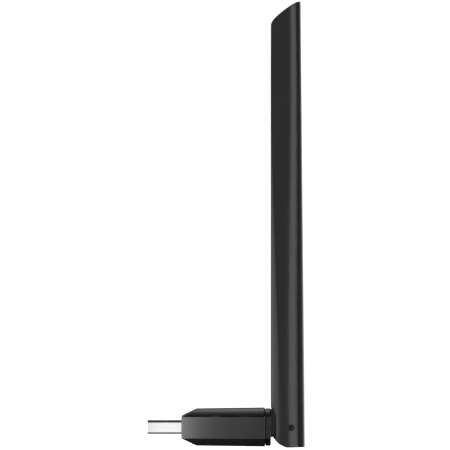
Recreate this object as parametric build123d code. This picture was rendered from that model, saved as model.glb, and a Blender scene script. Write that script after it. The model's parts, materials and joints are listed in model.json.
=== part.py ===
from build123d import *
import os

# USB wireless adapter with a tall hinged antenna: a faceted plastic dongle with a USB-A plug at one
# end and a swivelling hinge knuckle at the other, which carries the antenna.
#
# Frame, in millimetres: the origin is the centre of the plug where it leaves the housing, +X runs from
# the plug towards the antenna, +Y is across the dongle and +Z is up, along the upright antenna.
# At rest the antenna stands upright. It swivels about the X axis and folds back about its pin, along Y.

# ---------------------------------------------------------------- driving dimensions
# Dongle housing
HOUSING_LENGTH = 29.3
HOUSING_HALF_WIDTH = 9.0
# the plan view narrows towards the plug: position along the housing, and how much narrower it is there
NOSE_TAPER = ((-0.6, 1.18), (9.0, 0.33), (20.0, 0.0), (30.0, 0.0))
SIDE_HALF_HEIGHT = 3.8         # height of the upright side faces, each way from the axis
NOSE_CHAMFER_END = 5.3         # where the nose's sloping faces meet the top and the underside
NOSE_TOP = 6.35                # half height just behind the nose
TAIL_TOP = 6.67                # half height at the antenna end
FACET_TOP_HALF_WIDTH = 5.2     # half width where a sloping facet meets the top or the underside
WALL = 1.2
TAIL_WALL = 1.6
SEAM_LOW, SEAM_HIGH = 3.80, 4.24  # the shadow gap between the two halves of the housing
EDGE_RADIUS = 0.35
SNAP_STATIONS = (12.0, 22.0)
POST_STATIONS, POST_OFFSET, POST_RADIUS = (9.0, 20.5), 5.2, 0.9

# USB-A plug
PLUG_REACH = 12.0
PLUG_INSIDE = 6.8
PLUG_WIDTH, PLUG_HEIGHT = 12.0, 4.5
PLUG_SHEET = 0.3
PLUG_CORNER = 0.6
PLUG_LEAD_IN = 0.22            # bevel round the plug's mouth
BUTT_SEAM = 0.06               # where the folded sheet's edges meet, along the underside
TAB_START, TAB_END = 4.8, 6.0  # the solder tabs that pass through the main board
PLUG_GAP = 0.1                 # clearance round the plug in the housing
INSULATOR_HEIGHT = 1.9
CARRIER_END = 6.3
CONTACT_THICKNESS, CONTACT_RECESS = 0.2, 0.25
CONTACT_END = 7.2
WINDOW = 2.5
WINDOW_FROM_TIP = 5.2
WINDOW_SPACING = 5.9
CONTACT_OFFSETS = (-3.5, -1.0, 1.0, 3.5)

# Main board
BOARD_START, BOARD_END = 3.2, 22.6
BOARD_HALF_WIDTH = 6.3
BOARD_TOP = -2.35
BOARD_THICKNESS = 1.0
CAN_START, CAN_LENGTH = 9.3, 8.2
CAN_CENTRE_Y, CAN_WIDTH = -0.6, 10.0
CAN_HEIGHT, CAN_SHEET = 1.6, 0.2
CABLE_SOCKET_X = 19.8
LED_X = 8.0
PASSIVE_SIZE, PASSIVE_PITCH = (1.0, 0.5, 0.4), 0.9

# Swivel knuckle
SWIVEL_GAP = 0.2
COLLAR_START = HOUSING_LENGTH + SWIVEL_GAP
COLLAR_END = 31.3
COLLAR_INSET = 0.3
COLLAR_EDGE = 0.3
THRUST_RADIUS, THRUST_CLEARANCE = 6.2, 0.06   # the collar's raised face, which hides the swivel gap
SPINDLE_RADIUS, SPINDLE_BORE = 3.1, 1.2
SPINDLE_CLEARANCE = 0.05
SPINDLE_START = 24.4
BOSS_START, BOSS_RADIUS = 26.2, 4.9
CLIP_START, CLIP_THICKNESS, CLIP_GROOVE_RADIUS = 25.0, 0.6, 2.5
LUG_RADIUS, LUG_ORBIT = 0.55, 4.9

# Hinge
PIN_X = 38.45
PIN_RADIUS, PIN_CLEARANCE = 0.9, 0.05
PIN_INNER_END, PIN_OUTER_END = 1.6, 7.4
PIN_TIP_RADIUS, PIN_TIP_LENGTH = 0.65, 0.55
PIN_RECESS_RADIUS = 1.15
TONGUE_HALF_WIDTH, TONGUE_RADIUS = 4.8, 3.4
FORK_HALF_GAP, FORK_RADIUS = 5.0, 3.7
TOE_SWEEP = 7.35               # radius round the pin that the knuckle leaves free for the antenna's toe

# Antenna housing
ANTENNA_FRONT = 31.35
ANTENNA_BOTTOM, ANTENNA_TOP = -6.95, 149.25
ANTENNA_WALL = 1.3
TIP_EDGE, FOOT_EDGE = 0.4, 0.2
CAVITY_BOTTOM, CAVITY_CORNER = 9.0, 0.4
COVER_SPLIT, COVER_GAP = 40.7, 0.08
COVER_RAIL_START, COVER_RAIL_TOP = 3.5, 90.0  # distance from the middle, and upper end, of its rails
HOLDER_HEIGHTS = (32.0, 74.0, 114.0)
# stations along the antenna: height, back face, half width, front corner radius, back corner radius
STATIONS = (
    (-8.0, 43.30, 8.70, 4.0, 7.0),
    (25.0, 42.97, 8.60, 3.5, 7.0),
    (80.0, 42.42, 8.40, 1.0, 5.6),
    (150.5, 41.75, 8.10, 0.9, 4.6),
)

# Radiator board inside the antenna
RADIATOR_FRONT, RADIATOR_THICKNESS = 36.8, 0.8
RADIATOR_HALF_WIDTH = 5.5
RADIATOR_BOTTOM, RADIATOR_TOP = 17.5, 120.0
COPPER = 0.05
ZIGZAG_START, ZIGZAG_TURNS = 66.5, 6
ZIGZAG_HALF, ZIGZAG_TRACK, ZIGZAG_PITCH = 2.0, 0.8, 2.4
FOAM_HEIGHTS, FOAM_HALF_WIDTH, FOAM_LENGTH = (28.0, 66.0, 104.0), 3.2, 8.0
SLEEVE_RADIUS, SLEEVE_LOW, SLEEVE_HIGH = 1.0, 21.0, 29.0

# Coaxial lead
COAX_RADIUS = 0.565
COAX_BOARD_Z = -1.3
COAX_BEND = 3.25
LEAD_AT_BOARD = RADIATOR_FRONT - COPPER - SLEEVE_RADIUS - 0.02


# ---------------------------------------------------------------- small helpers
def block(x0, x1, y0, y1, z0, z1):
    """A box between two corners."""
    return Pos((x0 + x1) / 2, (y0 + y1) / 2, (z0 + z1) / 2) * Box(x1 - x0, y1 - y0, z1 - z0)


def rod_x(radius, x0, x1, y=0.0, z=0.0):
    """A cylinder along X."""
    return Pos((x0 + x1) / 2, y, z) * Rot(0, 90, 0) * Cylinder(radius, x1 - x0)


def rod_y(radius, y0, y1, x, z=0.0):
    """A cylinder along Y."""
    return Pos(x, (y0 + y1) / 2, z) * Rot(90, 0, 0) * Cylinder(radius, y1 - y0)


def rod_z(radius, z0, z1, x, y=0.0):
    """A cylinder along Z."""
    return Pos(x, y, (z0 + z1) / 2) * Cylinder(radius, z1 - z0)


def prism_y(outline, half_width):
    """A closed (x, z) outline carried equally both ways along Y."""
    return extrude(Plane.XZ * outline, amount=half_width, both=True)


def mirrored(shape):
    """A shape and its mirror image across the XZ plane, as two solids."""
    return [shape, mirror(shape, about=Plane.XZ)]


# ---------------------------------------------------------------- dongle housing
def housing_top(x):
    """Half height of the housing at x, behind the nose."""
    slope = (TAIL_TOP - NOSE_TOP) / (HOUSING_LENGTH - NOSE_CHAMFER_END)
    return NOSE_TOP + slope * (x - NOSE_CHAMFER_END)


def envelope(inset=0.0, tail_inset=0.0):
    """The housing's faceted outer form, or the same form drawn in by a wall."""
    tail = HOUSING_LENGTH - tail_inset
    chamfer_inset = inset * 1.11          # a sloping face moves further along Z than along its normal
    nose_z = SIDE_HALF_HEIGHT - chamfer_inset + inset * 0.48
    side = Polygon(
        (inset, nose_z),
        (NOSE_CHAMFER_END, NOSE_TOP - inset),
        (tail, housing_top(tail) - inset),
        (tail, inset - housing_top(tail)),
        (NOSE_CHAMFER_END, inset - NOSE_TOP),
        (inset, -nose_z),
        align=None,
    )
    body = loft([Plane.YZ.offset(x) * facet_section(inset, narrow) for x, narrow in NOSE_TAPER])
    return prism_y(side, HOUSING_HALF_WIDTH + 1) & body


def facet_section(inset, narrow=0.0):
    """The housing's cross-section: upright sides with a gently crowned facet above and below."""
    side, top = HOUSING_HALF_WIDTH - narrow - inset, TAIL_TOP + 0.3 - inset
    inner = FACET_TOP_HALF_WIDTH - narrow - inset * 0.5
    middle_y, middle_z = (side + inner) / 2 + 0.25, (SIDE_HALF_HEIGHT + top) / 2 + 0.35
    edges = []
    for across, up in ((1, 1), (1, -1), (-1, -1), (-1, 1)):
        edges += ThreePointArc(
            (across * side, up * SIDE_HALF_HEIGHT),
            (across * middle_y, up * middle_z),
            (across * inner, up * top),
        ).edges()
    edges += Line((side, SIDE_HALF_HEIGHT), (side, -SIDE_HALF_HEIGHT)).edges()
    edges += Line((-side, SIDE_HALF_HEIGHT), (-side, -SIDE_HALF_HEIGHT)).edges()
    edges += Line((inner, top), (-inner, top)).edges()
    edges += Line((inner, -top), (-inner, -top)).edges()
    return make_face(edges)


def outer_housing():
    form = envelope()
    return fillet(form.edges(), EDGE_RADIUS)


def snap_hook(x):
    """One cantilever hook of the top cover, on the +Y side."""
    arm = block(x - 1.25, x + 1.25, 6.9, 7.55, 1.7, 4.3)
    nub = block(x - 1.0, x + 1.0, 7.5, 7.95, 1.95, 2.5)
    return arm + nub


def top_cover(outer, inner):
    above = block(-1, HOUSING_LENGTH + 1, -10, 10, SEAM_HIGH, 8)
    shell = (outer & above) - inner
    for rail in mirrored(block(6.5, HOUSING_LENGTH - 2.3, 6.5, 9.0, 3.0, SEAM_HIGH + 0.6)):
        shell += (envelope(WALL + 0.1) - envelope(WALL + 0.8)) & rail
    shell += block(0.0, WALL, -6.0, 6.0, PLUG_HEIGHT / 2 + PLUG_GAP, SEAM_HIGH + 0.2) & outer
    for x in SNAP_STATIONS:
        for hook in mirrored(snap_hook(x)):
            shell += hook
    window = block(LED_X - 0.55, LED_X + 0.55, -1.55, 1.55, 3, 8)
    return shell - window


def bottom_shell(outer, inner):
    below = block(-1, HOUSING_LENGTH + 1, -10, 10, -8, SEAM_LOW)
    shell = (outer & below) - inner
    shell += rod_x(BOSS_RADIUS, BOSS_START, HOUSING_LENGTH - 0.5) & below
    board_bottom = BOARD_TOP - BOARD_THICKNESS
    for x in POST_STATIONS:
        for post in mirrored(rod_z(POST_RADIUS, -5.6, board_bottom - 0.02, x, POST_OFFSET)):
            shell += post
    shell += block(NOSE_CHAMFER_END + 1, HOUSING_LENGTH - 1.5, -0.4, 0.4, -5.6, -4.9)
    plug_room = PLUG_HEIGHT / 2 + PLUG_GAP
    plug_half = PLUG_WIDTH / 2 + PLUG_GAP
    shell -= block(-1, WALL + 0.6, -plug_half, plug_half, -plug_room, SEAM_LOW + 1)
    shell -= rod_x(SPINDLE_RADIUS + SPINDLE_CLEARANCE, BOSS_START - 1, HOUSING_LENGTH + 1)
    for x in SNAP_STATIONS:
        for pocket in mirrored(block(x - 1.3, x + 1.3, 7.4, 8.25, 1.8, 2.75)):
            shell -= pocket
    return shell - stop_groove()


def stop_groove():
    """The half-round groove in the tail that lets the knuckle's lug swing a quarter turn each way."""
    room = LUG_RADIUS + 0.1
    ring = rod_x(LUG_ORBIT + room, HOUSING_LENGTH - 1.0, HOUSING_LENGTH + 1)
    ring -= rod_x(LUG_ORBIT - room, HOUSING_LENGTH - 1.0, HOUSING_LENGTH + 1)
    lower = block(HOUSING_LENGTH - 2, HOUSING_LENGTH + 2, -9, 9, -9, 0)
    groove = ring & lower
    for side in (-1, 1):
        groove += rod_x(room, HOUSING_LENGTH - 1.0, HOUSING_LENGTH + 1, side * LUG_ORBIT, 0.0)
    return groove


def light_pipe():
    top = housing_top(LED_X) - 0.05
    post = block(LED_X - 0.5, LED_X + 0.5, -1.5, 1.5, -1.6, top)
    flange = block(LED_X - 1.1, LED_X + 1.1, -2.1, 2.1, 4.4, housing_top(LED_X) - WALL - 0.1)
    return post + flange


# ---------------------------------------------------------------- plug
def plug_outline(inset):
    return Plane.YZ * RectangleRounded(
        PLUG_WIDTH - 2 * inset, PLUG_HEIGHT - 2 * inset, PLUG_CORNER - min(inset, 0.35)
    )


def plug_shell():
    """The folded steel shell, with its four latch windows, butt seam and solder tabs."""
    start = Pos(-PLUG_REACH, 0, 0)
    length = PLUG_REACH + PLUG_INSIDE
    shell = extrude(start * plug_outline(0), amount=length)
    shell = chamfer(shell.edges().group_by(Axis.X)[0], PLUG_LEAD_IN)
    shell -= extrude(start * plug_outline(PLUG_SHEET), amount=length)
    window_x = -PLUG_REACH + WINDOW_FROM_TIP
    for across in (-1, 1):
        y = across * WINDOW_SPACING / 2
        shell -= block(window_x, window_x + WINDOW, y - WINDOW / 2, y + WINDOW / 2, -PLUG_HEIGHT, PLUG_HEIGHT)
    shell -= block(-PLUG_REACH - 1, PLUG_INSIDE + 1, -BUTT_SEAM / 2, BUTT_SEAM / 2, -PLUG_HEIGHT, 0)
    half = PLUG_WIDTH / 2
    tab_end = BOARD_TOP - BOARD_THICKNESS - 0.5
    for tab in mirrored(block(TAB_START, TAB_END, half - PLUG_SHEET, half, tab_end, -1.0)):
        shell += tab
    return shell


def plug_insulator():
    """The moulded contact carrier: a tongue along the lower half and a block that closes the rear."""
    half = PLUG_WIDTH / 2 - PLUG_SHEET - 0.05
    low = carrier_floor()
    top = low + INSULATOR_HEIGHT
    floor = top - CONTACT_RECESS
    tongue = block(-PLUG_REACH + 0.3, CARRIER_END, -half, half, low, top)
    rear = block(0.2, CARRIER_END, -half, half, low, -low)
    carrier = fillet((tongue + rear).edges().filter_by(Axis.X), 0.25)
    for y in CONTACT_OFFSETS:
        carrier -= block(-PLUG_REACH - 1, 0.2, y - 0.6, y + 0.6, floor, top + 1)
        carrier -= block(0.1, CARRIER_END + 1, y - 0.6, y + 0.6, floor, top + 0.05)
    return carrier


def carrier_floor():
    """The height of the contact carrier's underside, just clear of the shell."""
    return -PLUG_HEIGHT / 2 + PLUG_SHEET + 0.02


def plug_contacts():
    """Four flat contacts, each bent down behind the carrier into a solder tail."""
    floor = carrier_floor() + INSULATOR_HEIGHT - CONTACT_RECESS
    top = floor + CONTACT_THICKNESS
    contacts = []
    for y in CONTACT_OFFSETS:
        power = abs(y) > 2
        start = -PLUG_REACH + (1.0 if power else 2.0)
        blade = block(start, CONTACT_END, y - 0.5, y + 0.5, floor, top)
        tail = block(CONTACT_END - 0.25, CONTACT_END, y - 0.3, y + 0.3, BOARD_TOP + 0.02, top)
        contacts.append(blade + tail)
    return contacts


# ---------------------------------------------------------------- main board
def main_board():
    low = BOARD_TOP - BOARD_THICKNESS
    board = block(BOARD_START, BOARD_END, -BOARD_HALF_WIDTH, BOARD_HALF_WIDTH, low, BOARD_TOP)
    board = fillet(board.edges().filter_by(Axis.Z), 0.8)
    for y in (-PLUG_WIDTH / 2 + PLUG_SHEET / 2, PLUG_WIDTH / 2 - PLUG_SHEET / 2):
        board -= block(4.6, 6.2, y - 0.3, y + 0.3, low - 1, BOARD_TOP + 1)
    return board


def shield_frame():
    x0, x1 = CAN_START + CAN_SHEET + 0.05, CAN_START + CAN_LENGTH - CAN_SHEET - 0.05
    half = CAN_WIDTH / 2 - CAN_SHEET - 0.05
    y0, y1 = CAN_CENTRE_Y - half, CAN_CENTRE_Y + half
    top = BOARD_TOP + CAN_HEIGHT - CAN_SHEET - 0.05
    fence = block(x0, x1, y0, y1, BOARD_TOP, top)
    fence -= room_inside(x0, x1, y0, y1, top)
    return fence - block(x0 + 1, x1 - 1, y0 + 1, y1 - 1, BOARD_TOP - 1, top + 1)


def room_inside(x0, x1, y0, y1, top):
    """The space under a folded can whose outside runs between these corners."""
    sheet = CAN_SHEET
    return block(x0 + sheet, x1 - sheet, y0 + sheet, y1 - sheet, BOARD_TOP - 1, top - sheet)


def shield_lid():
    x0, x1 = CAN_START, CAN_START + CAN_LENGTH
    y0, y1 = CAN_CENTRE_Y - CAN_WIDTH / 2, CAN_CENTRE_Y + CAN_WIDTH / 2
    top = BOARD_TOP + CAN_HEIGHT
    lid = block(x0, x1, y0, y1, BOARD_TOP + 0.3, top)
    lid = fillet(lid.edges().filter_by(Axis.Z), 0.3)
    return lid - room_inside(x0, x1, y0, y1, top)


def chip_on_board(x, y, length, width, height):
    """A small part that sits on the board's top face."""
    return Pos(x, y, BOARD_TOP + height / 2) * Box(length, width, height)


def board_passives():
    """Chip resistors and capacitors, in two rows behind the shield and one along the board's edge."""
    places = [(21.6, -5.2 + PASSIVE_PITCH * index) for index in range(6)]
    places += [(18.4, 2.6 + PASSIVE_PITCH * index) for index in range(4)]
    places += [(13.0 + PASSIVE_PITCH * 1.5 * index, 5.3) for index in range(3)]
    return [chip_on_board(x, y, *PASSIVE_SIZE) for x, y in places]


def cable_socket():
    base = chip_on_board(CABLE_SOCKET_X, 0.0, 2.4, 2.6, 0.35)
    barrel = rod_z(0.95, BOARD_TOP + 0.3, BOARD_TOP + 0.75, CABLE_SOCKET_X)
    return base + barrel - rod_z(0.75, BOARD_TOP + 0.4, BOARD_TOP + 1, CABLE_SOCKET_X)


def cable_plug():
    cap = rod_z(1.3, BOARD_TOP + 0.4, BOARD_TOP + 1.6, CABLE_SOCKET_X)
    cap += block(CABLE_SOCKET_X, CABLE_SOCKET_X + 1.9, -0.75, 0.75, BOARD_TOP + 0.45, BOARD_TOP + 1.6)
    cap -= rod_z(1.0, BOARD_TOP + 0.3, BOARD_TOP + 0.8, CABLE_SOCKET_X)
    return cap - rod_x(COAX_RADIUS, CABLE_SOCKET_X + 0.9, CABLE_SOCKET_X + 3, 0, COAX_BOARD_Z)


# ---------------------------------------------------------------- swivel
def hinge_knuckle():
    """The collar behind the housing, its hollow spindle, the stop lug and the hinge tongue."""
    section = Plane.YZ.offset(COLLAR_START) * facet_section(COLLAR_INSET)
    section = extrude(section, amount=COLLAR_END - COLLAR_START)
    half = TAIL_TOP - COLLAR_INSET
    collar = section & block(COLLAR_START - 1, COLLAR_END + 1, -10, 10, -half, half)
    collar = fillet(collar.edges(), COLLAR_EDGE)
    collar -= rod_y(TOE_SWEEP, -10, 10, PIN_X)
    tongue = make_face(
        Polyline(
            (COLLAR_START + 0.6, -TONGUE_RADIUS), (PIN_X, -TONGUE_RADIUS), (PIN_X, TONGUE_RADIUS),
            (34.5, TONGUE_RADIUS), (33.4, 4.1), (31.95, 6.25), (COLLAR_START + 0.6, 6.25), close=True,
        )
    )
    knuckle = collar + prism_y(tongue, TONGUE_HALF_WIDTH)
    knuckle += rod_y(TONGUE_RADIUS, -TONGUE_HALF_WIDTH, TONGUE_HALF_WIDTH, PIN_X)
    knuckle += rod_x(THRUST_RADIUS, HOUSING_LENGTH + THRUST_CLEARANCE, COLLAR_START + 0.5)
    knuckle += rod_x(SPINDLE_RADIUS, SPINDLE_START, COLLAR_START + 0.5)
    knuckle += rod_x(LUG_RADIUS, HOUSING_LENGTH - 0.8, COLLAR_START + 0.5, 0, -LUG_ORBIT)
    groove = rod_x(SPINDLE_RADIUS + 1, CLIP_START, CLIP_START + CLIP_THICKNESS)
    knuckle -= groove - rod_x(CLIP_GROOVE_RADIUS, CLIP_START - 1, CLIP_START + 2)
    knuckle -= rod_x(SPINDLE_BORE, SPINDLE_START - 1, 34.0)
    knuckle -= block(33.0, PIN_X + 5, -0.95, 0.95, -SPINDLE_BORE, TONGUE_RADIUS + 1)
    knuckle -= rod_y(PIN_RADIUS + PIN_CLEARANCE, -6, 6, PIN_X)
    for recess in mirrored(rod_y(2.8, TONGUE_HALF_WIDTH - 0.25, 6, PIN_X)):
        knuckle -= recess
    return knuckle


def retaining_clip():
    """An open snap ring in the spindle's groove, which keeps the knuckle in the housing."""
    start, end = CLIP_START + 0.05, CLIP_START + CLIP_THICKNESS - 0.05
    ring = rod_x(4.2, start, end) - rod_x(CLIP_GROOVE_RADIUS + 0.05, start - 1, end + 1)
    return ring - block(start - 1, end + 1, -1.7, 1.7, 0, 6)


def friction_washer():
    """A dished spring washer between the clip and the boss: it gives the swivel its drag."""
    start = CLIP_START + CLIP_THICKNESS + 0.02
    profile = Plane.XZ * Polygon(
        (start, 3.2), (start + 0.25, 3.2), (BOSS_START - 0.02, 4.7), (BOSS_START - 0.27, 4.7), align=None
    )
    return revolve(profile, axis=Axis.X)


def hinge_washers():
    """Two thin spring washers that press on the fork's cheeks and hold the antenna where it is put."""
    ring = rod_y(2.6, TONGUE_HALF_WIDTH - 0.23, FORK_HALF_GAP - 0.02, PIN_X)
    ring -= rod_y(PIN_RADIUS + PIN_CLEARANCE, 0, 9, PIN_X)
    return mirrored(ring)


# ---------------------------------------------------------------- antenna housing
def antenna_section(station, inset):
    """The antenna's rounded section at one height, drawn in by a wall."""
    height, back, half, front_radius, back_radius = station
    depth, width = back - ANTENNA_FRONT - 2 * inset, 2 * (half - inset)
    outline = Rectangle(depth, width)
    outline = fillet(outline.vertices().group_by(Axis.X)[0], max(front_radius - inset, CAVITY_CORNER))
    outline = fillet(outline.vertices().group_by(Axis.X)[-1], back_radius - inset)
    return Plane.XY.offset(height) * Pos(ANTENNA_FRONT + inset + depth / 2, 0) * outline


def antenna_form(inset):
    return loft([antenna_section(station, inset) for station in STATIONS])


def tip_outline(inset):
    """The side view of the upper antenna: a crowned, slanting top that is highest at the back."""
    front, top = ANTENNA_FRONT + inset, ANTENNA_TOP - inset * 1.3
    shoulder = (front + 1.15, top - 6.15)
    crown = (front + 9.1, top - 0.25)
    return make_face(
        ThreePointArc((front - 0.5, top - 9.6), (front + 0.2, top - 7.55), shoulder)
        + ThreePointArc(shoulder, (front + 5.0, top - 2.85), crown)
        + Polyline(
            crown, (front + 10.6, top), (50, top), (50, CAVITY_BOTTOM),
            (front - 0.5, CAVITY_BOTTOM), (front - 0.5, top - 9.6),
        )
    )


def lower_outline():
    """The side view of the antenna's foot: the notch that clears the collar, the toe and the flat base."""
    return make_face(
        Polyline((32.1, -3.3), (33.0, -2.6), (33.0, 4.3), (ANTENNA_FRONT, 7.0), (ANTENNA_FRONT, 12), (50, 12))
        + Polyline((50, 12), (50, ANTENNA_BOTTOM), (36.95, ANTENNA_BOTTOM))
        + ThreePointArc((36.95, ANTENNA_BOTTOM), (34.1, -5.62), (32.1, -3.3))
    )


def fork_outline():
    """The side view of the slot between the fork's cheeks, open to the front and the bottom."""
    back = PIN_X + FORK_RADIUS
    return make_face(
        Polyline(
            (20, 6.5), (32.05, 6.5), (33.6, 4.25), (34.6, FORK_RADIUS), (PIN_X, FORK_RADIUS)
        )
        + RadiusArc((PIN_X, FORK_RADIUS), (back, 0), FORK_RADIUS)
        + Polyline((back, 0), (back, -12), (20, -12), (20, 6.5))
    )


def antenna_shells():
    """The whole hollow antenna, split into the front shell and the cover at its back."""
    outer = antenna_form(0) & (prism_y(tip_outline(0), 12) + prism_y(lower_outline(), 12))
    outer = fillet([e for e in outer.edges() if e.center().Z > ANTENNA_TOP - 12], TIP_EDGE)
    outer = fillet([e for e in outer.edges() if e.center().Z < 8], FOOT_EDGE)
    cavity = antenna_form(ANTENNA_WALL) & prism_y(tip_outline(ANTENNA_WALL), 12)
    whole = outer - cavity - prism_y(fork_outline(), FORK_HALF_GAP)
    whole -= rod_z(0.9, 0, CAVITY_BOTTOM + 1, PIN_X)
    whole -= rod_y(PIN_RADIUS, -20, 20, PIN_X)
    for recess in mirrored(rod_y(PIN_RECESS_RADIUS, PIN_OUTER_END, 12, PIN_X)):
        whole -= recess
    half_gap = COVER_GAP / 2
    front = whole & block(20, COVER_SPLIT - half_gap, -12, 12, -10, 160)
    cover = whole & block(COVER_SPLIT + half_gap, 60, -12, 12, -10, 160)
    for rail in cover_rails():
        cover += rail
    for z in HOLDER_HEIGHTS:
        front += board_holder(z)
    return front, cover


def cover_rails():
    """Two rails on the cover that reach past the split and locate it inside the front shell."""
    low, high = CAVITY_BOTTOM + 1, COVER_RAIL_TOP
    reach = block(COVER_SPLIT - 1.2, COVER_SPLIT + 0.3, -12, 12, low, high)
    tongue = antenna_form(ANTENNA_WALL + 0.08) & reach
    foot = block(COVER_SPLIT + COVER_GAP, COVER_SPLIT + 0.8, -12, 12, low, high)
    root = antenna_form(ANTENNA_WALL - 0.2) & foot
    both = tongue + root - antenna_form(ANTENNA_WALL + 0.9)
    return [both & side for side in mirrored(block(30, 50, COVER_RAIL_START, 12, 0, 150))]


def board_holder(z):
    """A rib inside the front shell whose two posts locate the radiator board's front face."""
    rib = block(ANTENNA_FRONT + 0.9, RADIATOR_FRONT - COPPER - 0.02, -6.5, 6.5, z - 0.5, z + 0.5)
    return rib - block(ANTENNA_FRONT + 2.4, RADIATOR_FRONT + 1, -2.6, 2.6, z - 1, z + 1)


def hinge_pins():
    """Two short pins, pressed into the cheeks from outside, which leave the middle free for the lead."""
    pin = rod_y(PIN_RADIUS, PIN_INNER_END, PIN_OUTER_END, PIN_X)
    tip = rod_y(PIN_TIP_RADIUS, PIN_OUTER_END - 0.1, PIN_OUTER_END + PIN_TIP_LENGTH, PIN_X)
    outer_rim = tip.edges().filter_by(GeomType.CIRCLE).sort_by(Axis.Y)[-1]
    return mirrored(pin + fillet(outer_rim, 0.35))


# ---------------------------------------------------------------- radiator
def radiator_board():
    board = block(
        RADIATOR_FRONT, RADIATOR_FRONT + RADIATOR_THICKNESS,
        -RADIATOR_HALF_WIDTH, RADIATOR_HALF_WIDTH, RADIATOR_BOTTOM, RADIATOR_TOP,
    )
    return fillet(board.edges().filter_by(Axis.X), 1.0)


def copper_track(y0, y1, z0, z1):
    """A strip of copper on the board's front face."""
    return block(RADIATOR_FRONT - COPPER, RADIATOR_FRONT, y0, y1, z0, z1)


def radiator_copper():
    """Copper on the board's front face: the feed line, two stacked pairs of arms and a phasing line."""
    tracks = [copper_track(-0.6, 0.6, 19.0, 41.0), copper_track(-0.5, 0.5, 42.0, 66.0)]
    for low, high in ((20.0, 40.0), (44.0, 64.0), (84.0, 112.0)):
        tracks += mirrored(copper_track(2.2, 4.4, low, high))
    tracks.append(phasing_line())
    return tracks


def phasing_line():
    """A zigzag track: level runs joined by short uprights at alternate ends."""
    zigzag = copper_track(-ZIGZAG_HALF, ZIGZAG_HALF, ZIGZAG_START, ZIGZAG_START + ZIGZAG_TRACK)
    for turn in range(ZIGZAG_TURNS):
        low = ZIGZAG_START + ZIGZAG_PITCH * turn
        high = low + ZIGZAG_PITCH
        upright = copper_track(ZIGZAG_HALF - ZIGZAG_TRACK, ZIGZAG_HALF, low, high + ZIGZAG_TRACK)
        zigzag += mirror(upright, about=Plane.XZ) if turn % 2 else upright
        zigzag += copper_track(-ZIGZAG_HALF, ZIGZAG_HALF, high, high + ZIGZAG_TRACK)
    return zigzag


def foam_pads():
    """Soft pads between the radiator board and the cover, which stop it rattling."""
    back = RADIATOR_FRONT + RADIATOR_THICKNESS
    front, half = COVER_SPLIT - 0.2, FOAM_HALF_WIDTH
    return [block(back, front, -half, half, z, z + FOAM_LENGTH) for z in FOAM_HEIGHTS]


def choke_sleeve():
    """A brass choke tube soldered round the lead, in front of the board's foot."""
    sleeve = rod_z(SLEEVE_RADIUS, SLEEVE_LOW, SLEEVE_HIGH, LEAD_AT_BOARD)
    return sleeve - rod_z(COAX_RADIUS + 0.02, SLEEVE_LOW - 1, SLEEVE_HIGH + 1, LEAD_AT_BOARD)


# ---------------------------------------------------------------- coaxial lead
def tube(path):
    """A round lead along a path."""
    start = Plane(path @ 0, z_dir=path % 0)
    return sweep(start * Circle(COAX_RADIUS), path=path)


def coax_in_dongle():
    start = CABLE_SOCKET_X + 1.0
    points = ((start, 0, COAX_BOARD_Z), (22.3, 0, COAX_BOARD_Z), (24.4, 0, 0), (26.5, 0, 0))
    return tube(FilletPolyline(*points, radius=3.6))


def coax_in_knuckle():
    return rod_x(COAX_RADIUS, 26.52, PIN_X - COAX_BEND)


def coax_bend():
    """The short stretch at the pin that bends as the antenna folds."""
    middle = COAX_BEND * 0.70710678
    path = ThreePointArc(
        (PIN_X - COAX_BEND, 0, 0), (PIN_X - COAX_BEND + middle, 0, COAX_BEND - middle), (PIN_X, 0, COAX_BEND)
    )
    return tube(path)


def coax_in_antenna():
    points = (
        (PIN_X, 0, COAX_BEND + 0.02), (PIN_X, 0, 11.0), (LEAD_AT_BOARD, 0, 16.0), (LEAD_AT_BOARD, 0, 30.0),
    )
    return tube(FilletPolyline(*points, radius=6.0))


# ---------------------------------------------------------------- build and export
def build_nodes():
    outer = outer_housing()
    inner = envelope(WALL, TAIL_WALL)
    front_shell, back_cover = antenna_shells()
    return {
        "bottom_shell": bottom_shell(outer, inner),
        "top_cover": top_cover(outer, inner),
        "light_pipe": light_pipe(),
        "plug_shell": plug_shell(),
        "plug_insulator": plug_insulator(),
        "plug_contacts": plug_contacts(),
        "main_board": main_board(),
        "shield_frame": shield_frame(),
        "shield_lid": shield_lid(),
        "wifi_chip": chip_on_board(13.4, -1.2, 5.0, 5.0, 0.85),
        "clock_crystal": chip_on_board(13.6, 2.6, 2.5, 2.0, 0.6),
        "voltage_regulator": chip_on_board(8.1, -4.3, 1.5, 2.8, 1.0),
        "power_inductor": chip_on_board(8.25, 4.2, 1.9, 2.5, 1.2),
        "activity_led": chip_on_board(LED_X, 0.0, 0.8, 1.6, 0.6),
        "board_passives": board_passives(),
        "cable_socket": cable_socket(),
        "cable_plug": cable_plug(),
        "coax_in_dongle": coax_in_dongle(),
        "hinge_knuckle": hinge_knuckle(),
        "retaining_clip": retaining_clip(),
        "friction_washer": friction_washer(),
        "hinge_washers": hinge_washers(),
        "coax_in_knuckle": coax_in_knuckle(),
        "coax_bend": coax_bend(),
        "antenna_front_shell": front_shell,
        "antenna_back_cover": back_cover,
        "hinge_pins": hinge_pins(),
        "radiator_board": radiator_board(),
        "radiator_copper": radiator_copper(),
        "foam_pads": foam_pads(),
        "choke_sleeve": choke_sleeve(),
        "coax_in_antenna": coax_in_antenna(),
    }


def main():
    os.makedirs("parts", exist_ok=True)
    for name, shape in build_nodes().items():
        if isinstance(shape, list):
            shape = Compound(children=shape)
        export_step(shape, f"parts/{name}.step")


main()
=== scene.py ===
import json
import math

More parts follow.
